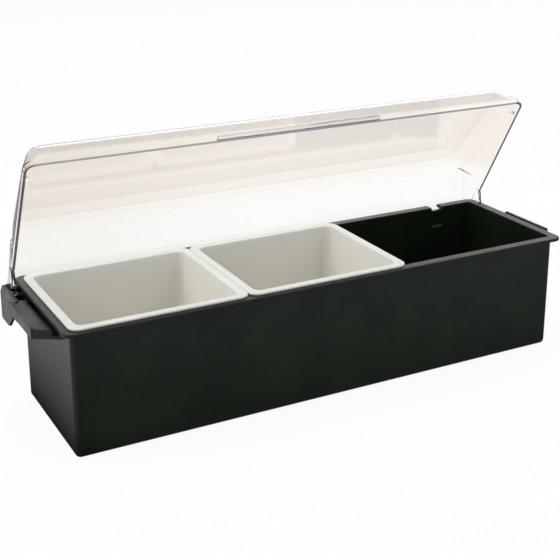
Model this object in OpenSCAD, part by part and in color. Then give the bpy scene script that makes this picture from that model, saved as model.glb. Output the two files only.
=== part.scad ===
// Condiment caddy: a long black tray with lift-out tubs and a clear lid that flips up
// Millimetres, +X along the tray, +Y to the back, +Z up
// The origin is the middle of the tray's flat underside

/* [Tray] */
// Length of the tray's walls, end to end
tray_l = 480; // [470:1:520]
// Depth of the tray's walls, front to back
tray_d = 131; // [126:1:150]
// Height of the tray, from its underside to the top of its rim
tray_h = 111; // [95:1:140]
// Thickness of the tray's walls
tray_wall = 3; // [2:0.5:4]
// Thickness of the tray's floor
tray_floor = 3; // [2:0.5:5]
// Radius of the tray's upright corners
tray_corner_r = 5; // [3.5:0.5:6]
// Radius of the tray's bottom edges
tray_foot_r = 4.5; // [2:0.5:6]
// How far the rim stands out past the walls
rim_reach = 6.5; // [5.5:0.5:9]
// Thickness of the rim
rim_t = 3; // [2:0.1:4]
// Corner radius of the rim, seen from above
rim_corner_r = 8; // [4:0.5:10]
// Height of the raised band under the rim
band_h = 2.5; // [2:0.5:6]
// How far the raised band stands proud of the wall
band_proud = 0.8; // [0.4:0.1:1.5]
// Width of the notch in the rear rim
notch_w = 13; // [8:1:30]
// Depth of the notch in the rear rim
notch_depth = 3.5; // [3:0.5:12]
// Place of the notch along the tray
notch_x = 196; // [120:1:205]

/* [Tubs] */
// Length of a tub over its flange
tub_l = 156; // [140:0.5:157]
// Gap between a tub's body and the tray's inner walls, front and back
tub_clearance = 0.5; // [0.4:0.1:2]
// Height of a tub below the rim that it hangs on
tub_h = 60; // [40:1:62]
// Thickness of a tub's flange
tub_flange_t = 2; // [1.5:0.1:3]
// How far the flange stands out past a tub's walls
tub_flange_w = 5.5; // [5:0.1:7]
// Thickness of a tub's walls
tub_wall = 1.8; // [1.5:0.1:3]
// How much a tub's walls lean in over their height
tub_lean = 5; // [2:0.5:10]
// Outer corner radius of a tub's flange
tub_corner_r = 9; // [7:0.5:16]
// Corner radius of a tub's mouth
tub_mouth_r = 6.5; // [5:0.5:12]
// Radius of a tub's bottom edges
tub_foot_r = 8; // [4:0.5:12]
// Gap between neighbouring tubs
tub_gap = 0.5; // [0.3:0.1:2]
// How far the left tub's flange sits inside the tray's left wall
tub_inset = 0; // [0:0.5:6]

/* [Lid] */
// How far the lid swings up, from closed to its stops
lid_open = 60.5; // [45:0.5:70]
// Thickness of the lid
lid_wall = 2.4; // [1.8:0.1:3]
// Gap between the lid and the ends of the rim
lid_end_gap = 0.5; // [0.4:0.1:1.5]
// Gap between the lid and the front of the rim
lid_front_gap = 2.8; // [1:0.1:5]
// Gap that the lid's rear wall keeps from the rim as it swings
lid_swing_gap = 0.35; // [0.3:0.05:1]
// How far the closed lid's edge hangs below the top of the rim
lid_drop = 2.6; // [1:0.1:3]
// Height of the straight band along the lid's edge
lid_band_h = 5; // [6:0.5:12]
// Corner radius of the lid's edge, seen from above
lid_corner_r = 9; // [6:0.5:16]
// Height of the lid's front above the tray's rim
lid_front_h = 27; // [16:1:40]
// Height of the lid's ridge above the tray's rim
lid_ridge_h = 44.7; // [36:0.2:70]
// Height of the shoulder behind the ridge, above the tray's rim
lid_shoulder_h = 30.1; // [22:0.2:34]
// Distance of the ridge behind the middle of the tray
lid_ridge_y = 37; // [20:0.5:45]
// How much the lid narrows at each end, from its edge to its ridge
lid_taper = 12; // [6:0.5:16]
// How much the lid narrows at each end, from its edge to its rounded front
lid_front_taper = 8; // [4:0.5:14]
// How much the lid narrows at each end, from its edge to its shoulder
lid_shoulder_taper = 6; // [3:0.5:12]
// Radius of the lid's long rounded front
lid_front_r = 10; // [6:0.5:14]
// Length of the finger lip on the lid's front edge
finger_lip_l = 164; // [60:1:300]
// How far the finger lip stands out
finger_lip_reach = 4.5; // [3:0.5:10]

/* [Hinge] */
// Distance of the hinge pins in front of the tray's rear wall
pin_inset = 0.5; // [1:0.5:4]
// Depth of the hinge pins below the top of the rim
pin_drop = 7.5; // [7.8:0.1:10]
// Radius of the hinge pins
pin_r = 2.5; // [1.5:0.1:3]
// Running clearance of the lid's ears on the pins
pin_clearance = 0.05; // [0.02:0.01:0.1]
// Radius of the lid's ears
ear_r = 6.5; // [4.5:0.1:6.5]
// Thickness of the lid's ears
ear_t = 3.5; // [2.8:0.1:4]
// How far an ear's web runs forward from the pin, along the lid's edge
ear_web_l = 17; // [8:1:24]
// Gap on each side of an ear
ear_gap = 0.4; // [0.3:0.1:0.6]

/* [Handles] */
// How far a handle stands out past the tray's end wall
handle_reach = 22; // [20:0.5:40]
// Length of a handle's grip along its outer edge
grip_l = 63; // [40:1:80]
// How far a handle's front end slants forward towards the wall
grip_slant = 13; // [6:1:20]
// Depth of the grip's top edge below the top of the rim
grip_drop = 5; // [4:0.5:10]
// Height of a handle's outer wall
grip_h = 9; // [6:0.5:14]
// Depth of the finger pocket in the grip's top
grip_pocket = 1; // [0.5:0.5:4]
// Thickness of a handle's thin walls
bracket_wall = 2.5; // [2:0.1:3]
// Distance of the hinge cheek's outer face from the tray's end wall
cheek_out = 16.5; // [15.5:0.1:18]
// Height of the hinge cheek
cheek_h = 33; // [26:1:45]

/* [Hidden] */
$fn = 48;
round_fn = 32;
thin = 0.01;
bite = 1;

// The tray's walls, rim and rear catch
wall_half_l = tray_l / 2;
wall_half_d = tray_d / 2;
inner_half_l = wall_half_l - tray_wall;
inner_half_d = wall_half_d - tray_wall;
rim_half_l = wall_half_l + rim_reach;
rim_half_d = wall_half_d + rim_reach;
rim_under = tray_h - rim_t;
inner_corner_r = max(tray_corner_r - tray_wall, 1);
catch_t = 1.8;
catch_h = 2;
catch_drop = 19;

// The hinge line
hinge_y = wall_half_d - pin_inset;
hinge_z = tray_h - pin_drop;

// The tubs, whose depth comes from the tray's
tub_d = 2 * (inner_half_d - tub_clearance + tub_flange_w);
left_tub_x = -wall_half_l + tub_inset + tub_l / 2;
middle_tub_x = left_tub_x + tub_l + tub_gap;
tub_body_r = tub_mouth_r + tub_wall;

// The closed lid
swing_r = norm([rim_half_d - hinge_y, pin_drop]) + lid_swing_gap;
lid_half_l = rim_half_l + lid_end_gap + lid_wall;
lid_front_y = -rim_half_d - lid_front_gap - lid_wall;
lid_rear_y = hinge_y + swing_r + lid_wall;
lid_edge_z = tray_h - lid_drop;
lid_band_z = lid_edge_z + lid_band_h;
front_tip = 14;
front_lean = 3;
front_round_y = lid_front_y + lid_front_r + front_lean;
front_round_z = tray_h + lid_front_h - lid_front_r;
ridge_r = 4;
ridge_tip = 7;
shoulder_back = 6.4;
shoulder_y = lid_ridge_y + shoulder_back;
hull_overlap = 26;
seam_y = shoulder_y;

// The tabs inside the lid that come to rest on the rim
rest_tab_in = 3.5;
rest_tab_w = 3;
rest_tab_t = 2.2;
rest_tab_gap = 0.3;
rest_tab_back = 17;

// The hinge, outwards from the tray's end wall
press_gap = 0.02;
pin_x = wall_half_l + bracket_wall;
ear_x = rim_half_l + lid_end_gap;
ear_out_x = ear_x + ear_t;
cheek_x = wall_half_l + cheek_out;
cheek_in_x = cheek_x - bracket_wall;
pin_out_x = cheek_x - 1;
boss_r = 4.5;

// The handles
grip_out_x = wall_half_l + handle_reach;
grip_rear_y = 30;
grip_front_y = grip_rear_y - grip_l;
grip_top = tray_h - grip_drop;
grip_floor = grip_top - grip_pocket;
grip_bottom = grip_top - grip_h;
groove_out_x = rim_half_l + 1;
groove_z = grip_bottom + bracket_wall;
recess_h = 2;
bracket_gap = 0.3;

// The hinge pockets behind the grips, and the stops under the open lid's rear edge
web_y = grip_rear_y - bracket_wall;
pocket_depth = 14;
pocket_z = hinge_z - pocket_depth;
pocket_low_z = pocket_z - bracket_wall;
boss_wall = 1.5;
plate_rear_y = hinge_y + boss_r + boss_wall;
cheek_rear_y = lid_rear_y;
cheek_top = grip_top;
cheek_bottom = cheek_top - cheek_h;
cheek_chamfer = 8;
cheek_foot_l = 22;
cheek_slant_l = 16;
stop_gap = 0.3;
stop_z = hinge_z + (lid_edge_z - hinge_z) * cos(lid_open) - (lid_rear_y - hinge_y) * sin(lid_open) - stop_gap;
stop_in = 3;
stop_back = 3.5;
stop_in_x = wall_half_l - stop_in;
stop_y = wall_half_d + stop_back;

// A rectangle with round corners, centred on the origin
module rounded_rect(size_x, size_y, r) {
    union() {
        square([size_x - 2 * r, size_y], center = true);
        square([size_x, size_y - 2 * r], center = true);
        for (sx = [-1, 1], sy = [-1, 1])
            translate([sx * (size_x / 2 - r), sy * (size_y / 2 - r)])
                circle(r = r);
    }
}

// A side view of the tray whose two bottom corners are round
module foot_profile(width, height, r) {
    union() {
        translate([-width / 2, r])
            square([width, height - r]);
        translate([-width / 2 + r, 0])
            square([width - 2 * r, height]);
        for (s = [-1, 1])
            translate([s * (width / 2 - r), r])
                circle(r = r);
    }
}

// The tray's outer block, with round corners and round bottom edges
module tray_block() {
    intersection() {
        linear_extrude(tray_h)
            rounded_rect(tray_l, tray_d, tray_corner_r);
        translate([0, wall_half_d + bite, 0])
            rotate([90, 0, 0])
                linear_extrude(tray_d + 2 * bite)
                    foot_profile(tray_l, tray_h, tray_foot_r);
        translate([-wall_half_l - bite, 0, 0])
            rotate([90, 0, 90])
                linear_extrude(tray_l + 2 * bite)
                    foot_profile(tray_d, tray_h, tray_foot_r);
    }
}

// The raised bands along the front and rear walls, under the rim
module tray_bands() {
    band_l = tray_l - 2 * tray_corner_r;
    for (s = [-1, 1])
        translate([-band_l / 2, s * wall_half_d - (s > 0 ? bite : band_proud), rim_under - band_h])
            cube([band_l, band_proud + bite, band_h + bite]);
}

// The black tray that holds the ice and carries everything else
module tray() {
    color("#1d211d")
    union() {
        difference() {
            union() {
                tray_block();
                tray_bands();
                translate([0, 0, rim_under])
                    linear_extrude(rim_t)
                        rounded_rect(2 * rim_half_l, 2 * rim_half_d, rim_corner_r);
            }
            translate([0, 0, tray_floor])
                linear_extrude(tray_h)
                    rounded_rect(2 * inner_half_l, 2 * inner_half_d, inner_corner_r);
            translate([notch_x - notch_w / 2, inner_half_d - bite, tray_h - notch_depth])
                cube([notch_w, tray_wall + rim_reach + 2 * bite, notch_depth + bite]);
        }
        translate([notch_x - notch_w / 2, inner_half_d - catch_t, tray_h - catch_drop - catch_h])
            cube([notch_w, catch_t + bite, catch_h]);
    }
}

// The front edge of a handle, which slants forward towards the tray's wall
function slant_y(x) = grip_front_y - grip_slant * (grip_out_x - x) / handle_reach;

// A piece of a handle's plan between two distances from the tray's middle
module grip_plan(in_x, out_x, inset, rear_y) {
    polygon([
        [in_x, slant_y(in_x) + inset],
        [out_x, slant_y(out_x) + inset],
        [out_x, rear_y],
        [in_x, rear_y]
    ]);
}

// The grip: a shelf with a raised outer edge, and a groove for the lid beside the wall
module grip() {
    difference() {
        translate([0, 0, grip_bottom])
            linear_extrude(grip_h)
                grip_plan(wall_half_l, grip_out_x, 0, grip_rear_y);
        translate([0, 0, grip_floor])
            linear_extrude(grip_h)
                grip_plan(wall_half_l - bite, grip_out_x - bracket_wall, -grip_slant, grip_rear_y + bite);
        translate([0, 0, groove_z])
            linear_extrude(grip_h)
                grip_plan(pin_x, groove_out_x, -grip_slant, web_y);
        // Moulded ware is hollow underneath
        translate([0, 0, grip_bottom - bite])
            linear_extrude(recess_h + bite)
                grip_plan(groove_out_x + bracket_wall, grip_out_x - bracket_wall, bracket_wall + 1, web_y);
    }
}

// The outline of the hinge cheek, seen from the end of the tray
module cheek_profile() {
    polygon([
        [web_y, cheek_top],
        [cheek_rear_y - cheek_chamfer, cheek_top],
        [cheek_rear_y, cheek_top - cheek_chamfer],
        [cheek_rear_y, cheek_bottom],
        [cheek_rear_y - cheek_foot_l, cheek_bottom],
        [cheek_rear_y - cheek_foot_l - cheek_slant_l, pocket_low_z],
        [web_y, pocket_low_z]
    ]);
}

// The hinge pocket behind the grip: floor, walls, pin bosses and the lid's stop
module hinge_pocket() {
    pocket_d = cheek_rear_y - web_y;
    translate([wall_half_l, web_y, pocket_low_z])
        cube([cheek_out, pocket_d, bracket_wall]);
    translate([wall_half_l, web_y, pocket_low_z])
        cube([cheek_out, bracket_wall, grip_floor - pocket_low_z]);
    translate([wall_half_l, web_y, pocket_low_z])
        cube([bracket_wall, plate_rear_y - web_y, rim_under - pocket_low_z - bracket_gap]);
    translate([cheek_in_x, 0, 0])
        rotate([90, 0, 90])
            linear_extrude(bracket_wall)
                cheek_profile();
    translate([pin_x - thin, hinge_y, hinge_z])
        rotate([0, 90, 0])
            cylinder(r = boss_r, h = ear_x - ear_gap - pin_x + thin);
    translate([ear_out_x + ear_gap, hinge_y, hinge_z])
        rotate([0, 90, 0])
            cylinder(r = boss_r, h = cheek_in_x - ear_out_x - ear_gap + thin);
    translate([stop_in_x, stop_y, pocket_low_z])
        cube([cheek_x - stop_in_x, cheek_rear_y - stop_y, stop_z - pocket_low_z]);
}

// A handle and hinge bracket for the right-hand end of the tray
module handle_bracket() {
    difference() {
        union() {
            grip();
            hinge_pocket();
        }
        translate([pin_x, hinge_y, hinge_z])
            rotate([0, 90, 0])
                cylinder(r = pin_r + press_gap, h = pin_out_x - pin_x);
    }
}

module right_handle() {
    color("#262a26")
        handle_bracket();
}

module left_handle() {
    color("#262a26")
        mirror([1, 0, 0])
            handle_bracket();
}

// The pin of the right-hand hinge, pressed into the bracket's two bosses
module hinge_pin() {
    translate([pin_x, hinge_y, hinge_z])
        rotate([0, 90, 0])
            cylinder(r = pin_r, h = pin_out_x - pin_x);
}

module right_hinge_pin() {
    color("#101210")
        hinge_pin();
}

module left_hinge_pin() {
    color("#101210")
        mirror([1, 0, 0])
            hinge_pin();
}

// A length of the lid's straight band, drawn in by a wall thickness where asked
module lid_band(front_y, rear_y, inset) {
    low = inset > 0 ? lid_edge_z - bite : lid_edge_z;
    translate([0, (front_y + rear_y) / 2, low])
        linear_extrude(lid_band_z - low)
            rounded_rect(2 * (lid_half_l - inset), rear_y - front_y - 2 * inset, lid_corner_r - inset);
}

// Two long round tips that pull a bar along X out of a hull
module bar_tips(half_l, y, z, r, tip, inset) {
    for (s = [-1, 1])
        translate([s * (half_l - tip), y, z])
            scale([(tip - inset) / (r - inset), 1, 1])
                sphere(r = r - inset, $fn = round_fn);
}

// The lid's hood as two closed forms, drawn in by a wall thickness where asked
module hood(inset) {
    hull() {
        lid_band(lid_front_y, seam_y + hull_overlap / 2, inset);
        bar_tips(lid_half_l - lid_front_taper, front_round_y, front_round_z, lid_front_r, front_tip, inset);
        bar_tips(lid_half_l - lid_taper, lid_ridge_y, tray_h + lid_ridge_h - ridge_r,
                 ridge_r, ridge_tip, inset);
    }
    hull() {
        lid_band(seam_y - hull_overlap / 2, lid_rear_y, inset);
        bar_tips(lid_half_l - lid_shoulder_taper, shoulder_y, tray_h + lid_shoulder_h - ridge_r,
                 ridge_r, ridge_tip, inset);
    }
}

// An ear that hangs from the right-hand end of the lid onto its pin, with a slanting web in front
module lid_ear() {
    hull() {
        translate([ear_x, hinge_y, hinge_z])
            rotate([0, 90, 0])
                cylinder(r = ear_r, h = ear_t);
        translate([ear_x, hinge_y - ear_web_l, lid_edge_z])
            cube([ear_t, ear_web_l + ear_r, lid_band_h]);
    }
}

// A small tab inside the lid's end that comes to rest on the tray's rim
module rest_tab() {
    translate([ear_x - rest_tab_in, lid_front_y + rest_tab_back, tray_h + rest_tab_gap])
        cube([rest_tab_in + lid_wall / 2, rest_tab_w, rest_tab_t]);
}

// The lip that a finger lifts, along the middle of the lid's front edge
module finger_lip() {
    translate([0, lid_front_y, lid_edge_z])
        linear_extrude(lid_wall)
            rounded_rect(finger_lip_l, 2 * finger_lip_reach, finger_lip_reach - 1);
}

// The closed lid
module closed_lid() {
    difference() {
        union() {
            difference() {
                union() {
                    hood(0);
                    finger_lip();
                }
                hood(lid_wall);
            }
            lid_ear();
            rest_tab();
            mirror([1, 0, 0])
                lid_ear();
            mirror([1, 0, 0])
                rest_tab();
        }
        translate([-ear_out_x - bite, hinge_y, hinge_z])
            rotate([0, 90, 0])
                cylinder(r = pin_r + pin_clearance, h = 2 * (ear_out_x + bite));
    }
}

// The clear lid, swung up on its hinge pins
module lid() {
    color("#e9e2dcaa")
        translate([0, hinge_y, hinge_z])
            rotate([-lid_open, 0, 0])
                translate([0, -hinge_y, -hinge_z])
                    closed_lid();
}

// A tub's body as a closed form, drawn in by a wall thickness where asked
module tub_form(inset) {
    body_l = tub_l - 2 * tub_flange_w - 2 * inset;
    body_d = tub_d - 2 * tub_flange_w - 2 * inset;
    foot_r = tub_foot_r - inset;
    foot_x = body_l / 2 - tub_lean - foot_r;
    foot_y = body_d / 2 - tub_lean - foot_r;
    rise = inset > 0 ? tub_flange_t + bite : tub_flange_t / 2;
    hull() {
        translate([0, 0, tray_h])
            linear_extrude(rise)
                rounded_rect(body_l, body_d, tub_body_r - inset);
        for (sx = [-1, 1], sy = [-1, 1])
            translate([sx * foot_x, sy * foot_y, tray_h - tub_h + inset + foot_r])
                sphere(r = foot_r, $fn = round_fn);
    }
}

// A white lift-out tub that hangs on the rim by its flange
module tub(centre_x) {
    translate([centre_x, 0, 0])
        difference() {
            union() {
                tub_form(0);
                translate([0, 0, tray_h])
                    linear_extrude(tub_flange_t)
                        rounded_rect(tub_l, tub_d, tub_corner_r);
            }
            tub_form(tub_wall);
        }
}

module left_tub() {
    color("#f2f1ea")
        tub(left_tub_x);
}

module middle_tub() {
    color("#f2f1ea")
        tub(middle_tub_x);
}

tray();
left_handle();
right_handle();
left_hinge_pin();
right_hinge_pin();
lid();
left_tub();
middle_tub();
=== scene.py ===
"""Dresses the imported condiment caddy: black tray and handles, milky tubs and a clear flip lid.

X runs along the tray, Y to its rear and Z up. The pieces' sizes are in millimetres, and those of the
materials and the studio in metres.
"""

import logging
import math
from dataclasses import dataclass
from enum import Enum

import bmesh
import bpy
from mathutils import Matrix, Vector


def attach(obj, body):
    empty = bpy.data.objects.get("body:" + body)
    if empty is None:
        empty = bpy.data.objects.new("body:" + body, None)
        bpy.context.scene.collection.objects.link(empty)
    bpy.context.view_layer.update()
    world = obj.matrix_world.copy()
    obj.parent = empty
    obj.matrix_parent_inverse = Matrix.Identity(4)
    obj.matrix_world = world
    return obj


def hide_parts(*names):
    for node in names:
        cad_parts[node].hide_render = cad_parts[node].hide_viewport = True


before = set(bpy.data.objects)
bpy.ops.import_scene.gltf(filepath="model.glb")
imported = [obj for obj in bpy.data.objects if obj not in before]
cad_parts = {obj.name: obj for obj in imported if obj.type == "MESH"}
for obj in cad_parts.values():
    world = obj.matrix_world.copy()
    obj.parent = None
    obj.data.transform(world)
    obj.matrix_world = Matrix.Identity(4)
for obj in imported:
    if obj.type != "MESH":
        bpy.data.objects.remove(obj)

logging.basicConfig(level=logging.INFO, format="%(message)s")
LOG = logging.getLogger("caddy")
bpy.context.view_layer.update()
MM = 0.001
TUB_CENTRES = {"left_tub": -162.0, "middle_tub": -5.5}
# The four corners of a box: the signs of X and Y, and the quarter turn that each starts at
CORNERS = ((1, 1, 0), (-1, 1, 1), (-1, -1, 2), (1, -1, 3))


class Side(Enum):
    """The two ends of the tray, as the sign of X."""

    LEFT = -1
    RIGHT = 1


class Slot(Enum):
    """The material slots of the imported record."""

    BLACK = "black_plastic"
    PIN = "pin_plastic"
    CLEAR = "clear_plastic"
    WHITE = "white_plastic"


# Node trees


class NodeNet:
    """A short way to write a node tree, with its nodes laid out in rows."""

    COLUMNS = 9
    SPACING = (200, 260)

    def __init__(self, tree: bpy.types.NodeTree) -> None:
        """Starts from a tree.

        Args:
            tree: The tree that nodes are added to.
        """
        self.tree = tree
        self.nodes = tree.nodes
        self.count = 0

    def add(self, kind: str, inputs: dict | None = None, **props: object) -> bpy.types.Node:
        """Adds a node.

        Args:
            kind: The node's type, such as "ShaderNodeMath".
            inputs: Values or sockets by input name or number.
            **props: Settings of the node itself.

        Returns:
            The new node.
        """
        node = self.nodes.new(kind)
        row, column = divmod(self.count, self.COLUMNS)
        node.location = (column * self.SPACING[0], -row * self.SPACING[1])
        self.count += 1
        for name, value in props.items():
            setattr(node, name, value)
        for key, value in (inputs or {}).items():
            if isinstance(value, bpy.types.NodeSocket):
                self.tree.links.new(value, node.inputs[key])
            else:
                node.inputs[key].default_value = value
        return node

    def maths(self, operation: str, *values: object) -> bpy.types.NodeSocket:
        """Adds a Math node.

        Args:
            operation: The sum it does, such as "MULTIPLY".
            *values: Its numbers or sockets, in order.

        Returns:
            The result's socket.
        """
        return self.add("ShaderNodeMath", dict(enumerate(values)), operation=operation).outputs[0]

    def span(self, value: bpy.types.NodeSocket, limits: tuple[float, float],
             inputs: dict | None = None, **props: object) -> bpy.types.NodeSocket:
        """Adds a Map Range node that turns a span of values into 0 to 1.

        Args:
            value: The value's socket.
            limits: The values that become 0 and 1.
            inputs: Other values of the node by name, such as its ends.
            **props: Settings of the node itself.

        Returns:
            The result's socket.
        """
        given = {"Value": value, "From Min": limits[0], "From Max": limits[1], **(inputs or {})}
        return self.add("ShaderNodeMapRange", given, **props).outputs[0]

    def blend(self, share: bpy.types.NodeSocket, first: object, second: object,
              blend_type: str = "MIX") -> bpy.types.NodeSocket:
        """Adds a Mix node for colours.

        Args:
            share: The socket that says how much of the second colour shows.
            first: The first colour or its socket.
            second: The second colour or its socket.
            blend_type: How they are blended.

        Returns:
            The result's socket.
        """
        return self.add("ShaderNodeMix", {"Factor": share, 6: first, 7: second}, data_type="RGBA",
                        blend_type=blend_type).outputs[2]

    def place(self) -> bpy.types.NodeSocket:
        """Returns the socket of a point's place on its object."""
        return self.add("ShaderNodeTexCoord").outputs["Object"]

    def axes(self) -> bpy.types.NodeOutputs:
        """Returns the sockets of a point's X, Y and Z on its object."""
        return self.add("ShaderNodeSeparateXYZ", {0: self.place()}).outputs

    def socket(self, name: str, kind: str, out: bool = False, value: object = None) -> None:
        """Adds a socket to the tree's interface.

        Args:
            name: The socket's name.
            kind: Its type, such as "NodeSocketFloat".
            out: Whether it is an output.
            value: Its default value.
        """
        made = self.tree.interface.new_socket(name, in_out="OUTPUT" if out else "INPUT", socket_type=kind)
        if value is not None:
            made.default_value = value


def empty_material(name: str) -> bpy.types.Material:
    """Makes a material with an empty node tree.

    Args:
        name: The material's name.

    Returns:
        The new material.
    """
    made = bpy.data.materials.new(name)
    made.use_nodes = True
    made.node_tree.nodes.clear()
    return made


class MouldedSurface:
    """A shader group for moulded plastic: fine grain, slow waviness, cloudy tone, rubs and dust."""

    NAME = "moulded_surface"
    WAVE_SCALE = 9.0
    WAVE_WEIGHT = 12.0
    CLOUD_SCALE = 24.0
    RUB_SCALE = (26.0, 90.0, 340.0)
    RUB_LIMITS = (0.58, 0.74)
    RUB_WEIGHT = 0.12
    SPECK_SCALE = 170.0
    SPECK_LIMITS = (0.09, 0.03)
    PATCH_LIMITS = (0.5, 0.72)
    LYING_LIMITS = (0.3, 1.0)

    def tree(self) -> bpy.types.NodeTree:
        """Returns the group, which is built once."""
        made = bpy.data.node_groups.get(self.NAME)
        return made if made else self.build()

    def build(self) -> bpy.types.NodeTree:
        """Builds the group.

        Returns:
            The new node group.
        """
        tree = bpy.data.node_groups.new(self.NAME, "ShaderNodeTree")
        net = NodeNet(tree)
        for name, value in (("Grain Scale", 1400.0), ("Grain", 0.5), ("Wave", 0.5), ("Base Roughness", 0.4),
                            ("Roughness Spread", 0.1), ("Rub", 0.3), ("Dust", 0.1)):
            net.socket(name, "NodeSocketFloat", value=value)
        for name in ("Height", "Roughness", "Tone", "Dust Mask"):
            net.socket(name, "NodeSocketFloat", out=True)
        given = net.add("NodeGroupInput").outputs
        place = net.place()
        grain = net.add("ShaderNodeTexNoise", {"Vector": place, "Scale": given["Grain Scale"], "Detail": 2.0})
        wave = net.add("ShaderNodeTexNoise", {"Vector": place, "Scale": self.WAVE_SCALE, "Detail": 1.0})
        cloud = net.add("ShaderNodeTexNoise", {"Vector": place, "Scale": self.CLOUD_SCALE, "Detail": 4.0,
                                               "Roughness": 0.6})
        stretch = net.add("ShaderNodeMapping", {"Vector": place, "Scale": self.RUB_SCALE})
        rub = net.add("ShaderNodeTexNoise", {"Vector": stretch.outputs[0], "Scale": 1.0, "Detail": 6.0,
                                             "Roughness": 0.7})
        rubbed = net.span(rub.outputs[0], self.RUB_LIMITS)
        speck = net.add("ShaderNodeTexVoronoi", {"Vector": place, "Scale": self.SPECK_SCALE})
        dots = net.span(speck.outputs["Distance"], self.SPECK_LIMITS)
        patch = net.span(cloud.outputs[0], self.PATCH_LIMITS)
        normal = net.add("ShaderNodeNewGeometry").outputs["Normal"]
        up = net.add("ShaderNodeSeparateXYZ", {0: normal}).outputs[2]
        lying = net.span(up, self.LYING_LIMITS)
        waviness = net.maths("MULTIPLY", given["Wave"], self.WAVE_WEIGHT)
        height = net.maths("ADD", net.maths("MULTIPLY", grain.outputs[0], given["Grain"]),
                           net.maths("MULTIPLY", wave.outputs[0], waviness))
        uneven = net.maths("SUBTRACT", cloud.outputs[0], 0.5)
        spread = net.maths("MULTIPLY", uneven, given["Roughness Spread"])
        worn = net.maths("MULTIPLY", net.maths("MULTIPLY", rubbed, given["Rub"]), self.RUB_WEIGHT)
        rough = net.maths("ADD", net.maths("ADD", given["Base Roughness"], spread), worn)
        settled = net.maths("MULTIPLY", lying, given["Dust"])
        dust = net.maths("MULTIPLY", net.maths("MULTIPLY", dots, patch), settled)
        net.add("NodeGroupOutput", {"Height": height, "Roughness": rough, "Tone": cloud.outputs[0],
                                    "Dust Mask": dust})
        return tree


@dataclass(frozen=True)
class OpaquePlastic:
    """An opaque or milky moulded plastic.

    Where a wall shade colour is given, the tone goes over to it from the top height down to the low height
    given: painted shade down the walls below the rim.
    """

    TONE_LIMITS = (0.3, 0.7)
    BUMP_REACH = 0.001
    IOR = 1.5
    GRAIN_SCALE = 1400.0
    MILK_RADIUS = (1.0, 0.9, 0.75)

    name: str
    dark: tuple[float, float, float]
    light: tuple[float, float, float]
    dust_colour: tuple[float, float, float] = (0.3, 0.3, 0.29)
    roughness: float = 0.4
    roughness_spread: float = 0.12
    specular: float = 0.5
    grain: float = 0.5
    wave: float = 0.4
    bump: float = 0.06
    rub: float = 0.5
    dust: float = 0.3
    milkiness: float = 0.0
    milk_reach: float = 0.004
    painted_wall_shade: tuple[float, float, float] | None = None
    painted_wall_shade_top: float = 0.113
    painted_wall_shade_low: float = 0.097

    def material(self) -> bpy.types.Material:
        """Builds the material, or returns it if it is there.

        Returns:
            The finished material.
        """
        made = bpy.data.materials.get(self.name)
        if made:
            return made
        made = empty_material(self.name)
        net = NodeNet(made.node_tree)
        surface = net.add("ShaderNodeGroup", node_tree=MouldedSurface().tree())
        for name, value in {"Grain Scale": self.GRAIN_SCALE, "Grain": self.grain, "Wave": self.wave,
                            "Base Roughness": self.roughness, "Roughness Spread": self.roughness_spread,
                            "Rub": self.rub, "Dust": self.dust}.items():
            surface.inputs[name].default_value = value
        tone = net.span(surface.outputs["Tone"], self.TONE_LIMITS)
        base = net.blend(tone, (*self.dark, 1), (*self.light, 1))
        # Painted shade: the colour goes over to the wall shade colour down the walls below the rim
        if self.painted_wall_shade:
            painted_wall_shade = net.span(net.axes()[2], (self.painted_wall_shade_top, self.painted_wall_shade_low), interpolation_type="SMOOTHSTEP")
            base = net.blend(painted_wall_shade, base, (*self.painted_wall_shade, 1))
        dusty = net.blend(surface.outputs["Dust Mask"], base, (*self.dust_colour, 1))
        bump = net.add("ShaderNodeBump", {"Strength": self.bump, "Distance": self.BUMP_REACH,
                                          "Height": surface.outputs["Height"]})
        shader = net.add("ShaderNodeBsdfPrincipled", {
            "Base Color": dusty, "Roughness": surface.outputs["Roughness"],
            "Normal": bump.outputs[0], "IOR": self.IOR, "Specular IOR Level": self.specular,
            "Subsurface Weight": self.milkiness, "Subsurface Scale": self.milk_reach,
            "Subsurface Radius": self.MILK_RADIUS})
        net.add("ShaderNodeOutputMaterial", {"Surface": shader.outputs[0]})
        made.diffuse_color = (*self.light, 1)
        return made


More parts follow.
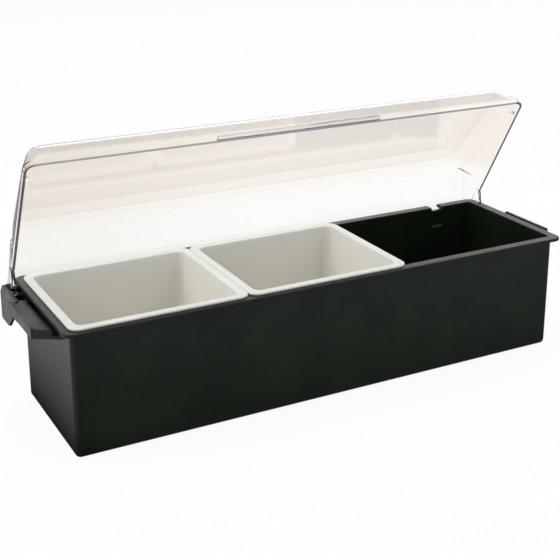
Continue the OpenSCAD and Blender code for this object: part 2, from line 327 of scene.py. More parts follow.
@dataclass(frozen=True)
class ClearPlastic:
    """A clear moulded plastic, or the duller face of one that was cut or frosted.

    Where a foot colour is given, the tone goes from it at the hinge to tint, and to a crown colour along the
    top, and is then darkened towards the left-hand end: painted light, whiter at the hinge, and painted
    shade, greyer along the top and darker at the left-hand end.
    """

    SURFACE = {"Grain Scale": 500.0, "Grain": 0.01, "Wave": 0.25, "Roughness Spread": 0.03, "Rub": 0.2,
               "Dust": 0.0}
    BUMP = 0.025
    BUMP_REACH = 0.001
    IOR = 1.49
    VIEWPORT = (0.93, 0.91, 0.9, 0.3)

    name: str
    tint: tuple[float, float, float] = (0.93, 0.875, 0.82)
    roughness: float = 0.065
    clearness: float = 1.0
    specular: float = 0.35
    shadow_tint: tuple[float, float, float] = (0.9, 0.896, 0.9)
    painted_light_foot_tint: tuple[float, float, float] | None = None
    painted_shade_crown_tint: tuple[float, float, float] = (0.89, 0.86, 0.83)
    painted_shade_end_tint: tuple[float, float, float] = (0.925, 0.92, 0.915)
    foot_z: tuple[float, float] = (0.157, 0.142)
    crown_z: tuple[float, float] = (0.212, 0.236)
    end_x: tuple[float, float] = (0.02, -0.25)

    def tone(self, net: NodeNet) -> bpy.types.NodeSocket:
        """Lays the lid's painted light and shade over its own height and length.

        Args:
            net: The tree that the nodes are added to.

        Returns:
            The colour's socket.
        """
        x, _, z = net.axes()
        tone = (*self.tint, 1)
        for value, limits, colour, blend_type in ((z, self.foot_z, self.painted_light_foot_tint, "MIX"),
                                                  (z, self.crown_z, self.painted_shade_crown_tint, "MIX"),
                                                  (x, self.end_x, self.painted_shade_end_tint, "MULTIPLY")):
            share = net.span(value, limits, interpolation_type="SMOOTHSTEP")
            tone = net.blend(share, tone, (*colour, 1), blend_type)
        return tone

    def material(self) -> bpy.types.Material:
        """Builds the material, or returns it if it is there.

        Returns:
            The finished material.
        """
        made = bpy.data.materials.get(self.name)
        if made:
            return made
        made = empty_material(self.name)
        net = NodeNet(made.node_tree)
        surface = net.add("ShaderNodeGroup", node_tree=MouldedSurface().tree())
        for name, value in {**self.SURFACE, "Base Roughness": self.roughness}.items():
            surface.inputs[name].default_value = value
        bump = net.add("ShaderNodeBump", {"Strength": self.BUMP, "Distance": self.BUMP_REACH,
                                          "Height": surface.outputs["Height"]})
        clear = net.add("ShaderNodeBsdfPrincipled", {
            "Base Color": self.tone(net) if self.painted_light_foot_tint else (*self.tint, 1),
            "Roughness": surface.outputs["Roughness"], "Normal": bump.outputs[0], "IOR": self.IOR,
            "Specular IOR Level": self.specular, "Transmission Weight": self.clearness, "Metallic": 0.0})
        passing = net.add("ShaderNodeBsdfTransparent", {0: (*self.shadow_tint, 1)})
        path = net.add("ShaderNodeLightPath")
        mixed = net.add("ShaderNodeMixShader", {0: path.outputs["Is Shadow Ray"], 1: clear.outputs[0],
                                                2: passing.outputs[0]})
        net.add("ShaderNodeOutputMaterial", {"Surface": mixed.outputs[0]})
        made.diffuse_color = self.VIEWPORT
        return made


BLACK = OpaquePlastic("black_moulded_plastic", dark=(0.0048, 0.0088, 0.0044),
                      light=(0.0092, 0.0142, 0.0086), roughness=0.31, specular=0.16, bump=0.09, dust=0.3)
BLACK_BRACKET = OpaquePlastic("black_bracket_plastic", dark=(0.006, 0.008, 0.0056),
                              light=(0.01, 0.0125, 0.0094), roughness=0.36, roughness_spread=0.5,
                              specular=0.24, grain=0.8, bump=0.1, rub=2.0, dust=0.3)
BLACK_PIN = OpaquePlastic("black_pin_plastic", dark=(0.003, 0.004, 0.003), light=(0.006, 0.007, 0.006),
                          roughness=0.5, specular=0.3, dust=0.1)
# The tubs' walls carry painted shade below the rim
MILK = OpaquePlastic("milky_tub_plastic", dark=(0.635, 0.64, 0.615), light=(0.695, 0.7, 0.68),
                     dust_colour=(0.6, 0.6, 0.58), roughness=0.38, specular=0.25, grain=0.25, bump=0.04,
                     wave=0.5, dust=0.1, milkiness=0.5, painted_wall_shade=(0.67, 0.66, 0.6))
# The lid's tint carries painted light at the hinge and painted shade along the top and at the left-hand end
CLEAR = ClearPlastic("clear_lid_plastic", painted_light_foot_tint=(0.99, 0.975, 0.955))
# The lid's cut edges are duller cut faces; their grey tints are painted shade, darkest at the ends
CLEAR_EDGE_PAINTED_SHADE = ClearPlastic("clear_lid_front_edge_painted_shade", tint=(0.6, 0.575, 0.61), roughness=0.35, clearness=0.3)
CLEAR_END_EDGE_PAINTED_SHADE = ClearPlastic("clear_lid_end_edge_painted_shade", tint=(0.17, 0.14, 0.16), roughness=0.35, clearness=0.2)
# The finger lip is duller than the lid, and its whiter tint is painted light
CLEAR_LIP_PAINTED_LIGHT = ClearPlastic("clear_lid_finger_lip_painted_light", tint=(0.98, 0.98, 0.985), roughness=0.2, clearness=0.85)


# Meshes


def baked(obj: bpy.types.Object, name: str) -> bpy.types.Mesh:
    """Turns an object and its modifiers into one plain mesh.

    Args:
        obj: The object, which is removed.
        name: The new mesh's name.

    Returns:
        The plain mesh.
    """
    graph = bpy.context.evaluated_depsgraph_get()
    mesh = bpy.data.meshes.new_from_object(obj.evaluated_get(graph), depsgraph=graph)
    bpy.data.objects.remove(obj)
    mesh.name = name
    return mesh


def placed(name: str, mesh: bpy.types.Mesh) -> bpy.types.Object:
    """Links a mesh to the scene as an object at the origin.

    Args:
        name: The object's name.
        mesh: Its mesh.

    Returns:
        The new object.
    """
    obj = bpy.data.objects.new(name, mesh)
    bpy.context.scene.collection.objects.link(obj)
    return obj


def smoothed(mesh: bpy.types.Mesh, degrees: float) -> None:
    """Shades a mesh smooth and keeps its edges sharp past an angle.

    Args:
        mesh: The mesh.
        degrees: The angle.
    """
    mesh.shade_smooth()
    mesh.set_sharp_from_angle(angle=math.radians(degrees))


def boolean(mesh: bpy.types.Mesh, other: bpy.types.Mesh, operation: str) -> bpy.types.Mesh:
    """Joins or cuts two closed meshes.

    Args:
        mesh: The mesh that is changed.
        other: The mesh that is added or taken away.
        operation: "UNION" or "DIFFERENCE".

    Returns:
        The new mesh.
    """
    first, second = placed("first", mesh), placed("second", other)
    cut = first.modifiers.new("cut", "BOOLEAN")
    cut.operation, cut.solver, cut.object = operation, "EXACT", second
    bpy.context.view_layer.update()
    made = baked(first, mesh.name)
    bpy.data.objects.remove(second)
    return made


def block_mesh(low: Vector, high: Vector, bevel: float = 0.0, segments: int = 3) -> bpy.types.Mesh:
    """Makes a rounded block.

    Args:
        low: Its lowest corner, in millimetres.
        high: Its highest corner, in millimetres.
        bevel: The radius of its edges, in millimetres.
        segments: The steps of each rounded edge.

    Returns:
        The block's mesh, in metres.
    """
    work = bmesh.new()
    bmesh.ops.create_cube(work, size=1.0)
    size = (high - low) * MM
    work.transform(Matrix.Translation((low + high) * MM / 2) @ Matrix.Diagonal((*size, 1.0)))
    if bevel:
        bmesh.ops.bevel(work, geom=work.edges[:], offset=bevel * MM, segments=segments, profile=0.5,
                        affect="EDGES")
    mesh = bpy.data.meshes.new("block")
    work.to_mesh(mesh)
    work.free()
    return mesh


def rod_mesh(start: float, end: float, y: float, z: float, radius: float, steps: int = 48) -> bpy.types.Mesh:
    """Makes a round rod along X.

    Args:
        start: Its lower X, in millimetres.
        end: Its higher X, in millimetres.
        y: Its axis in Y, in millimetres.
        z: Its axis in Z, in millimetres.
        radius: Its radius, in millimetres.
        steps: The number of sides.

    Returns:
        The rod's mesh, in metres.
    """
    work = bmesh.new()
    bmesh.ops.create_cone(work, cap_ends=True, segments=steps, radius1=radius * MM, radius2=radius * MM,
                          depth=(end - start) * MM)
    work.transform(Matrix.Translation(Vector(((start + end) / 2, y, z)) * MM) @ Matrix.Rotation(
        math.pi / 2, 4, "Y"))
    mesh = bpy.data.meshes.new("rod")
    work.to_mesh(mesh)
    work.free()
    return mesh


@dataclass(frozen=True)
class Ring:
    """One ring of a box-like form, measured from the form's nominal sides."""

    out_x: float
    out_y: float
    z: float
    corner: float


def ring(out: float, z: float, corner: float) -> Ring:
    """Makes a ring that stands out as far on all four sides.

    Args:
        out: How far it stands out, in millimetres.
        z: Its height, in millimetres.
        corner: The radius of its corners, in millimetres.

    Returns:
        The ring.
    """
    return Ring(out, out, z, corner)


class RoundedBoxLoft:
    """Geometry Nodes that lay a grid of rings round a box with rounded corners.

    Each point of the grid carries VALUES: those of its ring, its angle and its side of the form.
    """

    NAME = "rounded_box_loft"
    VALUES = ("out_x", "out_y", "rise", "corner", "turn", "side_x", "side_y")

    def tree(self) -> bpy.types.NodeTree:
        """Returns the tree, which is built once."""
        made = bpy.data.node_groups.get(self.NAME)
        return made if made else self.build()

    def build(self) -> bpy.types.NodeTree:
        """Builds the tree: each point goes to its place on its ring, from the ring's own sizes.

        Returns:
            The new node tree.
        """
        tree = bpy.data.node_groups.new(self.NAME, "GeometryNodeTree")
        net = NodeNet(tree)
        net.socket("Geometry", "NodeSocketGeometry")
        net.socket("Length", "NodeSocketFloat", value=0.48)
        net.socket("Depth", "NodeSocketFloat", value=0.131)
        net.socket("Centre", "NodeSocketFloat", value=0.0)
        net.socket("Material", "NodeSocketMaterial")
        net.socket("Geometry", "NodeSocketGeometry", out=True)
        given = net.add("NodeGroupInput").outputs
        said = {name: net.add("GeometryNodeInputNamedAttribute", {"Name": name}, data_type="FLOAT").outputs[0]
                for name in self.VALUES}

        def reach(size: bpy.types.NodeSocket, out: str, side: str, wave: str) -> bpy.types.NodeSocket:
            """Works out a point's distance from the middle along one axis.

            Args:
                size: The form's size along it.
                out: The name of the ring's overhang along it.
                side: The name of the point's side of the form.
                wave: "COSINE" or "SINE", for X or Y.

            Returns:
                The distance's socket.
            """
            half = net.maths("ADD", net.maths("MULTIPLY", size, 0.5), said[out])
            straight = net.maths("MULTIPLY", net.maths("SUBTRACT", half, said["corner"]), said[side])
            rounded = net.maths("MULTIPLY", said["corner"], net.maths(wave, said["turn"]))
            return net.maths("ADD", straight, rounded)

        x = net.maths("ADD", reach(given["Length"], "out_x", "side_x", "COSINE"), given["Centre"])
        y = reach(given["Depth"], "out_y", "side_y", "SINE")
        where = net.add("ShaderNodeCombineXYZ", {0: x, 1: y, 2: said["rise"]})
        moved = net.add("GeometryNodeSetPosition", {"Geometry": given["Geometry"],
                                                    "Position": where.outputs[0]})
        real = net.add("GeometryNodeRealizeInstances", {0: moved.outputs[0]})
        coated = net.add("GeometryNodeSetMaterial", {"Geometry": real.outputs[0],
                                                     "Material": given["Material"]})
        net.add("NodeGroupOutput", {0: coated.outputs[0]})
        return tree

    def mesh(self, name: str, length: float, depth: float, centre: float, rings: list[Ring],
             material: bpy.types.Material, steps: int = 12) -> bpy.types.Mesh:
        """Makes a closed form from its rings.

        Args:
            name: The mesh's name.
            length: Its nominal length along X, in millimetres.
            depth: Its nominal depth along Y, in millimetres.
            centre: Its middle along X, in millimetres.
            rings: Its rings, from the middle of the underside round to the middle of the inside.
            material: The material that the tree sets.
            steps: The steps of each rounded corner.

        Returns:
            The plain mesh.
        """
        columns = [(side_x, side_y, (start + step / steps) * math.pi / 2)
                   for side_x, side_y, start in CORNERS for step in range(steps + 1)]
        wide, last = len(columns), (len(rings) - 1) * len(columns)
        faces = [(row + column, row + (column + 1) % wide, row + wide + (column + 1) % wide,
                  row + wide + column) for row in range(0, last, wide) for column in range(wide)]
        faces.append(tuple(range(wide))[::-1])
        faces.append(tuple(range(last, last + wide)))
        grid = bpy.data.meshes.new(name)
        grid.from_pydata([(0, 0, 0)] * (last + wide), [], faces)
        points = [(level.out_x * MM, level.out_y * MM, level.z * MM, level.corner * MM, turn, side_x, side_y)
                  for level in rings for side_x, side_y, turn in columns]
        for key, numbers in zip(self.VALUES, zip(*points)):
            grid.attributes.new(key, "FLOAT", "POINT").data.foreach_set("value", numbers)
        obj = placed(name, grid)
        loft = obj.modifiers.new("loft", "NODES")
        loft.node_group = self.tree()
        sizes = {"Length": length * MM, "Depth": depth * MM, "Centre": centre * MM, "Material": material}
        for item in loft.node_group.interface.items_tree:
            if item.in_out == "INPUT" and item.name in sizes:
                loft[item.identifier] = sizes[item.name]
        bpy.context.view_layer.update()
        mesh = baked(obj, name)
        for key in self.VALUES:
            mesh.attributes.remove(mesh.attributes[key])
        return mesh


def rounding(start: float, end: float, steps: int) -> list[tuple[float, float]]:
    """Works out the turn of a rounded edge.

    Args:
        start: The first angle, in degrees.
        end: The last angle, in degrees.
        steps: The number of steps.

    Returns:
        The cosine and sine of each angle from start to end.
    """
    angles = [math.radians(start + (end - start) * step / steps) for step in range(steps + 1)]
    return [(math.cos(angle), math.sin(angle)) for angle in angles]


def dressed(name: str, mesh: bpy.types.Mesh, material: bpy.types.Material, body: str, slot: Slot,
            nodes: tuple[str, ...], sharp: float, *others: bpy.types.Material) -> bpy.types.Object:
    """Finishes a mesh as a piece of the caddy.

    Args:
        name: The piece's name.
        mesh: Its mesh.
        material: Its material.
        body: The body that it moves with.
        slot: The material slot of the imported record that it stands for; not used.
        nodes: The solids that it stands for.
        sharp: The angle past which its edges stay sharp, in degrees.
        *others: The materials of the faces that are marked 1 and up, where it has any.

    Returns:
        The finished piece.
    """
    marks = [face.material_index if others else 0 for face in mesh.polygons]
    mesh.materials.clear()
    for finish in (material, *others):
        mesh.materials.append(finish)
    mesh.polygons.foreach_set("material_index", marks)
    smoothed(mesh, sharp)
    obj = placed(name, mesh)
    normals = obj.modifiers.new("normals", "WEIGHTED_NORMAL")
    normals.keep_sharp = True
    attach(obj, body)
    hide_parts(*nodes)
    return obj


# Sub-assemblies


@dataclass
class Tray:
    """The black tray: walls, turned-out rim, band, rear notch and the catch below it.

    The values from band_lead to floor_least ease the edges and corners of its section.
    """

    length: float = 480.0
    depth: float = 131.0
    height: float = 111.0
    wall: float = 3.0
    floor: float = 3.0
    corner: float = 5.0
    foot: float = 4.5
    rim_reach: float = 6.5
    rim_thickness: float = 3.0
    rim_corner: float = 8.0
    rim_edge: float = 0.9
    band_height: float = 2.5
    band_proud: float = 0.8
    notch_x: float = 196.0
    notch_width: float = 13.0
    notch_depth: float = 3.5
    notch_edge: float = 1.6
    notch_past: float = 8.0
    catch_height: float = 2.0
    catch_proud: float = 1.8
    catch_ridge: float = 0.3
    catch_root: float = 1.2
    catch_drop: float = 19.0
    band_lead: float = 0.3
    band_rise: float = 0.5
    neck: float = 0.7
    under_edge: float = 0.4
    corner_ease: float = 0.6
    wall_ease: float = 0.3
    top_ease: float = 0.2
    floor_fillet: float = 2.0
    foot_least: float = 0.6
    floor_least: float = 0.4
    sharp_degrees: float = 40.0

    def rings(self) -> list[Ring]:
        """Works out the rings of the tray's section.

        Returns:
            The rings, from under the floor round to the inside.
        """
        under = self.height - self.rim_thickness
        low = under - self.band_height - self.band_lead
        made = []
        for cos, sin in rounding(-90, 0, 6):
            out = self.foot * (cos - 1)
            made.append(ring(out, self.foot * (1 + sin), max(self.corner + out, self.foot_least)))
        made.append(ring(0, low, self.corner))
        made += [Ring(0, self.band_proud * (1 - cos), low + self.band_rise * sin, self.corner)
                 for cos, sin in rounding(30, 90, 3)]
        neck_low = under - self.neck
        made.append(Ring(0, self.band_proud, neck_low, self.corner))
        made += [ring(self.band_proud + self.neck * (1 - cos), neck_low + self.neck * sin,
                      self.corner + self.corner_ease) for cos, sin in rounding(15, 90, 4)]
        top, reach, edge = self.height, self.rim_reach, self.under_edge
        made.append(ring(reach - edge, under, self.rim_corner - edge))
        made += [ring(reach - edge * (1 - sin), under + edge * (1 - cos), self.rim_corner)
                 for cos, sin in rounding(30, 90, 3)]
        edge = self.rim_edge
        made += [ring(reach - edge * (1 - cos), top - edge * (1 - sin), self.rim_corner - self.top_ease)
                 for cos, sin in rounding(0, 90, 5)]
        inner = self.corner - self.wall
        made += [ring(-self.wall + edge * (1 - sin), top - edge * (1 - cos), inner + self.corner_ease)
                 for cos, sin in rounding(0, 90, 5)]
        inner, fillet = inner + self.wall_ease, self.floor_fillet
        made.append(ring(-self.wall, self.floor + fillet, inner))
        made += [ring(-self.wall - fillet * (1 - cos), self.floor + fillet * (1 - sin),
                      max(inner - fillet * (1 - cos), self.floor_least)) for cos, sin in rounding(15, 90, 5)]
        return made

    def notch_cutter(self) -> bpy.types.Mesh:
        """Makes the form that is cut out of the rear rim.

        Returns:
            The closed form, with rounded corners.
        """
        half = self.notch_width / 2
        return block_mesh(Vector((self.notch_x - half, self.depth / 2 - self.wall - self.notch_past,
                                  self.height - self.notch_depth)),
                          Vector((self.notch_x + half, self.depth / 2 + self.rim_reach + self.notch_past,
                                  self.height + self.notch_depth)), bevel=self.notch_edge, segments=5)

    def catch(self) -> bpy.types.Mesh:
        """Makes the small ledge inside the rear wall, below the notch.

        Returns:
            The closed form, with a sloping top.
        """
        half = self.notch_width / 2
        inside = self.depth / 2 - self.wall
        top = self.height - self.catch_drop
        mesh = block_mesh(Vector((self.notch_x - half, inside - self.catch_proud, top - self.catch_height)),
                          Vector((self.notch_x + half, inside + self.catch_root, top)))
        for vertex in mesh.vertices:
            if vertex.co.y < inside * MM and vertex.co.z > (top - self.catch_height / 2) * MM:
                vertex.co.y = (inside - self.catch_ridge) * MM
        return mesh

    def build(self) -> bpy.types.Object:
        """Builds the tray and puts it in place of its solid.

        Returns:
            The finished tray.
        """
        mesh = RoundedBoxLoft().mesh("tray_shell", self.length, self.depth, 0.0, self.rings(),
                                     BLACK.material())
        mesh = boolean(mesh, self.notch_cutter(), "DIFFERENCE")
        mesh = boolean(mesh, self.catch(), "UNION")
        return dressed("tray_shell", mesh, BLACK.material(), "caddy", Slot.BLACK, ("tray",),
                       self.sharp_degrees)


@dataclass
class Tub:
    """A milky lift-out tub that hangs on the rim by its flange.

    The values from least_corner to mouth_edge ease the edges and corners of its section.
    """

    name: str
    centre: float
    length: float = 156.0
    depth: float = 135.0
    rim_z: float = 111.0
    drop: float = 60.0
    flange: float = 5.5
    flange_thickness: float = 2.0
    wall: float = 1.8
    lean: float = 5.0
    foot: float = 8.0
    corner: float = 9.0
    mouth: float = 6.5
    least_corner: float = 0.5
    waist: float = -0.05
    waist_drop: float = 0.6
    neck: float = 0.35
    seat_gap: float = 0.03
    corner_ease: float = 0.4
    under_ease: float = 0.3
    under_edge: float = 0.4
    outer_edge: float = 0.8
    mouth_edge: float = 1.3
    sharp_degrees: float = 50.0

    def rings(self) -> list[Ring]:
        """Works out the rings of the tub's section, measured from its body.

        Returns:
            The rings, from under the floor round to the inside.
        """
        wall, foot, lean, flange = self.wall, self.foot, self.lean, self.flange
        low, top = self.rim_z - self.drop, self.rim_z + self.flange_thickness
        seat = self.rim_z + self.seat_gap
        body = self.mouth + wall
        made = [ring(-lean - foot * (1 - cos), low + foot * (1 + sin), max(foot * cos, self.least_corner))
                for cos, sin in rounding(-90, 0, 9)]
        made.append(ring(self.waist, self.rim_z - self.waist_drop, body))
        made.append(ring(self.neck, seat, body + self.corner_ease))
        edge = self.under_edge
        made.append(ring(flange - edge, seat, self.corner - self.under_ease))
        made += [ring(flange - edge * (1 - sin), seat + edge * (1 - cos), self.corner)
                 for cos, sin in rounding(30, 90, 3)]
        edge = self.outer_edge
        made += [ring(flange - edge * (1 - cos), top - edge * (1 - sin), self.corner)
                 for cos, sin in rounding(0, 90, 5)]
        edge = self.mouth_edge
        made += [ring(-wall + edge * (1 - sin), top - edge * (1 - cos), self.mouth + self.corner_ease)
                 for cos, sin in rounding(0, 90, 6)]
        inner = foot - wall
        made += [ring(-lean - wall - inner * (1 - cos), low + wall + inner * (1 - sin),
                      max(inner * cos, self.least_corner)) for cos, sin in rounding(0, 90, 9)]
        return made

    def build(self) -> bpy.types.Object:
        """Builds the tub and puts it in place of its solid.

        Returns:
            The finished tub.
        """
        mesh = RoundedBoxLoft().mesh(self.name + "_shell", self.length - 2 * self.flange,
                                     self.depth - 2 * self.flange, self.centre, self.rings(),
                                     MILK.material())
        return dressed(self.name + "_shell", mesh, MILK.material(), self.name, Slot.WHITE, (self.name,),
                       self.sharp_degrees)


@dataclass
class BevelledSolid:
    """A solid of the model with its hard edges rounded off."""

    node: str
    finish: OpaquePlastic
    slot: Slot
    body: str = "caddy"
    edge: float = 0.45
    steps: int = 3
    merge: float = 0.01
    flat_degrees: float = 1.0
    sharp_degrees: float = 35.0

    def build(self) -> bpy.types.Object:
        """Copies the solid's mesh, merges it and rounds its edges.

        Returns:
            The finished piece.
        """
        work = bmesh.new()
        work.from_mesh(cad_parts[self.node].data)
        bmesh.ops.remove_doubles(work, verts=work.verts[:], dist=self.merge * MM)
        bmesh.ops.dissolve_limit(work, angle_limit=math.radians(self.flat_degrees), verts=work.verts[:],
                                 edges=work.edges[:])
        mesh = bpy.data.meshes.new(self.node + "_piece")
        work.to_mesh(mesh)
        work.free()
        obj = placed("plain", mesh)
        bevel = obj.modifiers.new("edges", "BEVEL")
        bevel.width, bevel.segments = self.edge * MM, self.steps
        bevel.limit_method, bevel.angle_limit = "ANGLE", math.radians(self.sharp_degrees)
        bevel.use_clamp_overlap = True
        bpy.context.view_layer.update()
        mesh = baked(obj, self.node + "_piece")
        return dressed(self.node + "_piece", mesh, self.finish.material(), self.body, self.slot,
                       (self.node,), self.sharp_degrees)


@dataclass
class Hood:
    """The clear lid: hood, finger lip, ears and rest tabs, drawn closed and then swung open.

    A centre and the hinge are given as Y and Z, and ear_x and tab_x are lengths from the tray's middle.
    """

    open_degrees: float = 60.5
    wall: float = 2.4
    half_length: float = 249.4
    front_y: float = -77.2
    rear_y: float = 78.0
    edge_z: float = 108.4
    band_height: float = 5.0
    band_corner: float = 9.0
    taper: float = 12.0
    shoulder_taper: float = 6.0
    front_centre: tuple[float, float] = (-64.2, 128.0)
    front_radius: float = 10.0
    front_tip: float = 14.0
    front_taper: float = 8.0
    ridge_centre: tuple[float, float] = (37.0, 151.7)
    shoulder_centre: tuple[float, float] = (43.4, 137.1)
    ridge_radius: float = 4.0
    ridge_tip: float = 7.0
    overlap: float = 26.0
    lip_length: float = 164.0
    lip_reach: float = 4.5
    lip_edge: float = 0.5
    hinge: tuple[float, float] = (65.0, 103.5)
    pin_hole: float = 2.55
    pin_reach: float = 260.0
    ear: float = 6.5
    ear_x: tuple[float, float] = (247.05, 250.5)
    ear_web: float = 17.0
    tab_x: tuple[float, float] = (243.5, 248.2)
    tab_back: float = 17.0
    tab_depth: float = 3.0
    tab_z: float = 111.3
    tab_height: float = 2.2
    inside_drop: float = 1.0
    merge: float = 0.02
    mark_gap: float = 0.05
    facing_down: float = -0.9
    lip_gap: float = 0.2
    steps: int = 12
    sharp_degrees: float = 24.0

    def band_points(self, front: float, rear: float, inset: float) -> list[Vector]:
        """Returns the points of a length of the straight band.

        Args:
            front: The band's front, in millimetres.
            rear: The band's rear, in millimetres.
            inset: How far it is drawn in.

        Returns:
            The points, in millimetres.
        """
        radius = self.band_corner - inset
        low = self.edge_z - (self.inside_drop if inset else 0.0)
        high = self.edge_z + self.band_height
        made = []
        for side_x, side_y, start in CORNERS:
            middle_x = side_x * (self.half_length - inset - radius)
            middle_y = (rear - inset - radius) if side_y > 0 else (front + inset + radius)
            for step in range(self.steps + 1):
                turn = (start + step / self.steps) * math.pi / 2
                x, y = middle_x + radius * math.cos(turn), middle_y + radius * math.sin(turn)
                made += [Vector((x, y, low)), Vector((x, y, high))]
        return made

    def tip_points(self, half: float, centre: tuple[float, float], radius: float, tip: float,
                   inset: float) -> list[Vector]:
        """Returns the points of two long round tips.

        Args:
            half: How far the tips reach along X, in millimetres.
            centre: Their Y and Z, in millimetres.
            radius: Their radius across X.
            tip: Their length along X.
            inset: How far they are drawn in.

        Returns:
            The points, in millimetres.
        """
        made = []
        across, along = radius - inset, tip - inset
        for side in Side:
            for level in range(self.steps + 1):
                lean = level / self.steps * math.pi / 2
                for step in range(4 * self.steps):
                    turn = step / (2 * self.steps) * math.pi
                    made.append(Vector((side.value * (half - tip + along * math.sin(lean)),
                                        centre[0] + across * math.cos(lean) * math.cos(turn),
                                        centre[1] + across * math.cos(lean) * math.sin(turn))))
        return made

    def hull(self, points: list[Vector]) -> bpy.types.Mesh:
        """Wraps points in their convex form.

        Args:
            points: The points, in millimetres.

        Returns:
            The closed mesh, in metres.
        """
        work = bmesh.new()
        for point in points:
            work.verts.new(point * MM)
        result = bmesh.ops.convex_hull(work, input=work.verts[:])
        inside = [part for part in result["geom_interior"] if isinstance(part, bmesh.types.BMVert)]
        bmesh.ops.delete(work, geom=inside, context="VERTS")
        bmesh.ops.remove_doubles(work, verts=work.verts[:], dist=self.merge * MM)
        bmesh.ops.recalc_face_normals(work, faces=work.faces[:])
        mesh = bpy.data.meshes.new("hull")
        work.to_mesh(mesh)
        work.free()
        return mesh

    def form(self, inset: float) -> bpy.types.Mesh:
        """Makes the hood as a closed form.

        Args:
            inset: How far it is drawn in, which is the wall for its inside.

        Returns:
            The closed mesh, in metres.
        """
        seam = self.shoulder_centre[0]
        main = self.band_points(self.front_y, seam + self.overlap / 2, inset)
        main += self.tip_points(self.half_length - self.front_taper, self.front_centre, self.front_radius,
                                self.front_tip, inset)
        main += self.tip_points(self.half_length - self.taper, self.ridge_centre, self.ridge_radius,
                                self.ridge_tip, inset)
        rear = self.band_points(seam - self.overlap / 2, self.rear_y, inset)
        rear += self.tip_points(self.half_length - self.shoulder_taper, self.shoulder_centre,
                                self.ridge_radius, self.ridge_tip, inset)
        return boolean(self.hull(main), self.hull(rear), "UNION")

    def fittings(self, side: Side) -> list[bpy.types.Mesh]:
        """Makes the ear with its web and the rest tab of one end, as closed forms.

        The ear starts just inside the wall, because faces that lie in each other would stay doubled.

        Args:
            side: The end that they are made for.

        Returns:
            The two forms.
        """
        y, z = self.hinge
        ear_faces = sorted(side.value * x for x in self.ear_x)
        tab_low, tab_high = sorted(side.value * x for x in self.tab_x)
        tab_y, top = self.front_y + self.tab_back, self.edge_z + self.band_height
        turns = [2 * math.pi * step / (4 * self.steps) for step in range(4 * self.steps)]
        ear = [Vector((x, y + self.ear * math.cos(turn), z + self.ear * math.sin(turn)))
               for x in ear_faces for turn in turns]
        ear += [Vector((x, web_y, web_z)) for x in ear_faces
                for web_y in (y - self.ear_web, y + self.ear) for web_z in (self.edge_z, top)]
        tab = block_mesh(Vector((tab_low, tab_y, self.tab_z)),
                         Vector((tab_high, tab_y + self.tab_depth, self.tab_z + self.tab_height)))
        return [self.hull(ear), tab]

    def lip(self) -> bpy.types.Mesh:
        """Makes the finger lip.

        Returns:
            The closed form, with rounded edges.
        """
        y = self.front_y - self.lip_reach
        half = self.lip_length / 2
        return block_mesh(Vector((-half, y, self.edge_z)),
                          Vector((half, self.front_y + self.wall / 2, self.edge_z + self.wall)),
                          bevel=self.lip_edge)

    def mark_cut_edge(self, mesh: bpy.types.Mesh) -> None:
        """Marks the cut edge's front and rear as 1, the ends' undersides as 2 and the finger lip as 3.

        Args:
            mesh: The closed lid, before it is swung open.
        """
        lip_y = (self.front_y - self.lip_gap) * MM
        end_x = (self.half_length - self.band_corner) * MM
        edge_z = (self.edge_z + self.mark_gap) * MM
        for face in mesh.polygons:
            place, normal = face.center, face.normal
            if place.y < lip_y:
                face.material_index = 3
            elif place.z < edge_z and normal.z < self.facing_down:
                face.material_index = 2 if abs(place.x) > end_x else 1
            else:
                face.material_index = 0

    def build(self) -> bpy.types.Object:
        """Builds the lid, swings it open and puts it in place of its solid.

        Returns:
            The finished lid.
        """
        mesh = boolean(self.form(0.0), self.lip(), "UNION")
        mesh = boolean(mesh, self.form(self.wall), "DIFFERENCE")
        y, z = self.hinge
        for side in Side:
            for part in self.fittings(side):
                mesh = boolean(mesh, part, "UNION")
        pins = rod_mesh(-self.pin_reach, self.pin_reach, y, z, self.pin_hole)
        mesh = boolean(mesh, pins, "DIFFERENCE")
        self.mark_cut_edge(mesh)
        pivot = Vector((0, y, z)) * MM
        swing = Matrix.Rotation(-math.radians(self.open_degrees), 4, "X")
        mesh.transform(Matrix.Translation(pivot) @ swing @ Matrix.Translation(-pivot))
        return dressed("lid_hood", mesh, CLEAR.material(), "lid", Slot.CLEAR, ("lid",), self.sharp_degrees,
                       CLEAR_EDGE_PAINTED_SHADE.material(), CLEAR_END_EDGE_PAINTED_SHADE.material(), CLEAR_LIP_PAINTED_LIGHT.material())


@dataclass(frozen=True)
class Lamp:
    """A soft lamp: its place and size in metres, its tilt and turn in degrees, its power in watts."""

    name: str
    place: tuple[float, float, float]
    size: tuple[float, float]
    tilt: float
    turn: float
    power: float


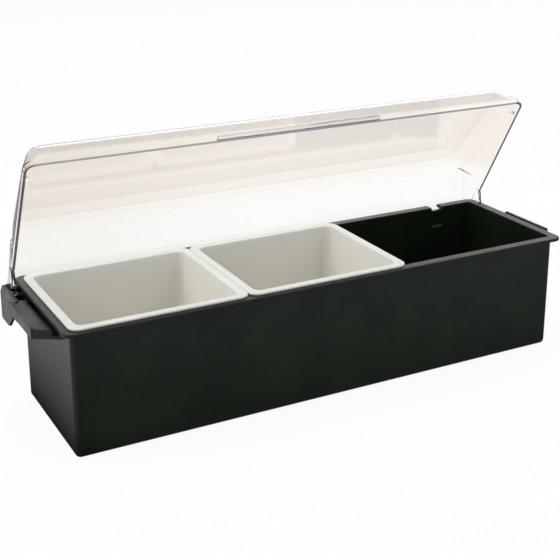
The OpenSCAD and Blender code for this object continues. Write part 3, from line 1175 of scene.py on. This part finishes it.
@dataclass
class Studio:
    """The pale floor, the white surround, the soft lamps and the camera.

    In the black plastic the floor shows a painted reflection: it shines white beside the tray and in front of
    it, and is dark close to the tray as painted shade, between the limits given.
    The camera's heading and pitch are in radians.
    """

    SENSOR = 36.0
    CLIP = (0.05, 50.0)

    floor_half: float = 6.0
    floor_drop: float = 0.0002
    floor_grey: float = 0.86
    left_limits: tuple[float, float] = (-0.243, -0.315)
    right_limits: tuple[float, float] = (-0.235, -0.2)
    front_limits: tuple[float, float] = (-0.07, -0.32)
    front_painted_reflection: tuple[float, float] = (0.3, 0.9)
    surround: float = 0.55
    surround_shine: float = 0.55
    eye: tuple[float, float, float] = (-0.4853, -0.8683, 0.4743)
    heading: float = 0.49
    pitch: float = 0.2935
    lens: float = 74.48
    shift_x: float = 0.0014
    shift_y: float = -0.16
    floor_white: float = 0.93
    lamps: tuple[Lamp, ...] = (
        Lamp("top_lamp", (0.5, 0.4, 1.7), (2.6, 1.2), 0.0, 0.0, 13.0),
        Lamp("left_lamp", (-1.8, 0.2, 1.1), (1.1, 1.1), 60.6, -96.0, 17.0),
        Lamp("front_lamp", (1.0, -1.25, 1.05), (2.4, 0.25), 51.6, 0.0, 6.0),
        Lamp("back_lamp", (1.1, 2.0, 0.95), (2.4, 0.5), -68.0, -12.0, 5.0),
    )

    def floor(self) -> None:
        """Lays a pale floor that the camera sees as white, with the object's shadow on it, and with a painted
        reflection for glossy rays that is dark close to the tray.
        """
        work = bmesh.new()
        bmesh.ops.create_grid(work, x_segments=1, y_segments=1, size=self.floor_half)
        mesh = bpy.data.meshes.new("floor")
        work.to_mesh(mesh)
        work.free()
        obj = placed("floor", mesh)
        obj.location.z = -self.floor_drop
        material = empty_material("pale_floor")
        net = NodeNet(material.node_tree)
        path = net.add("ShaderNodeLightPath").outputs
        seen = net.maths("MAXIMUM", path["Is Camera Ray"], path["Is Transmission Ray"])
        x, y, _ = net.axes()
        # Painted reflection: glossy rays see the floor white away from the tray and dark close to it, as
        # painted shade
        left, right = net.span(x, self.left_limits), net.span(x, self.right_limits)
        front = net.span(y, self.front_limits, {"To Min": self.front_painted_reflection[0], "To Max": self.front_painted_reflection[1]})
        painted_reflection = net.maths("MAXIMUM", left, net.maths("MULTIPLY", right, front))
        glossy = net.maths("MULTIPLY", path["Is Glossy Ray"], painted_reflection)
        matt = net.add("ShaderNodeBsdfDiffuse", {"Color": (*[self.floor_grey] * 3, 1)})
        white = net.add("ShaderNodeEmission", {"Color": (1, 1, 1, 1),
                                               "Strength": net.maths("MAXIMUM", seen, glossy)})
        share = net.maths("MULTIPLY", net.maths("MAXIMUM", seen, path["Is Glossy Ray"]), self.floor_white)
        both = net.add("ShaderNodeMixShader", {0: share, 1: matt.outputs[0], 2: white.outputs[0]})
        net.add("ShaderNodeOutputMaterial", {"Surface": both.outputs[0]})
        mesh.materials.append(material)

    def world(self) -> None:
        """Makes a white surround that lights the object softly."""
        world = bpy.data.worlds.new("studio")
        bpy.context.scene.world = world
        world.use_nodes = True
        world.node_tree.nodes.clear()
        net = NodeNet(world.node_tree)
        path = net.add("ShaderNodeLightPath").outputs
        seen = net.maths("MAXIMUM", path["Is Camera Ray"], path["Is Transmission Ray"])
        seen = net.maths("MAXIMUM", seen, net.maths("MULTIPLY", path["Is Glossy Ray"], self.surround_shine))
        strength = net.maths("ADD", net.maths("MULTIPLY", seen, 1 - self.surround), self.surround)
        back = net.add("ShaderNodeBackground", {"Color": (1, 1, 1, 1), "Strength": strength})
        net.add("ShaderNodeOutputWorld", {"Surface": back.outputs[0]})

    def light(self) -> None:
        """Hangs the soft lamps."""
        for lamp in self.lamps:
            data = bpy.data.lights.new(lamp.name, "AREA")
            data.shape, data.energy = "RECTANGLE", lamp.power
            data.size, data.size_y = lamp.size
            obj = bpy.data.objects.new(lamp.name, data)
            bpy.context.scene.collection.objects.link(obj)
            obj.visible_camera = False
            obj.location = lamp.place
            obj.rotation_euler = (math.radians(lamp.tilt), 0.0, math.radians(lamp.turn))

    def camera(self) -> None:
        """Sets the camera at the height and heading of the photograph."""
        data = bpy.data.cameras.new("camera")
        data.sensor_width, data.lens = self.SENSOR, self.lens
        data.shift_x, data.shift_y = self.shift_x, self.shift_y
        data.clip_start, data.clip_end = self.CLIP
        camera = bpy.data.objects.new("camera", data)
        bpy.context.scene.collection.objects.link(camera)
        camera.location = self.eye
        camera.rotation_euler = (math.pi / 2 - self.pitch, 0.0, -self.heading)
        bpy.context.scene.camera = camera

    def build(self) -> None:
        """Sets up the whole studio."""
        self.floor()
        self.world()
        self.light()
        self.camera()
        bpy.context.scene.view_settings.view_transform = "Standard"


def main() -> None:
    """Builds the studio and every piece of the caddy, in order."""
    Studio().build()
    LOG.info("studio is set")
    makers = [Tray(), *(Tub(name, centre) for name, centre in TUB_CENTRES.items()), Hood()]
    for side in Side:
        end = side.name.lower()
        makers.append(BevelledSolid(end + "_handle", BLACK_BRACKET, Slot.BLACK))
        makers.append(BevelledSolid(end + "_hinge_pin", BLACK_PIN, Slot.PIN, edge=0.3))
    for maker in makers:
        piece = maker.build()
        LOG.info("%s: %d faces", piece.name, len(piece.data.polygons))
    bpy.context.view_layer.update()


if __name__ == "__main__":
    main()
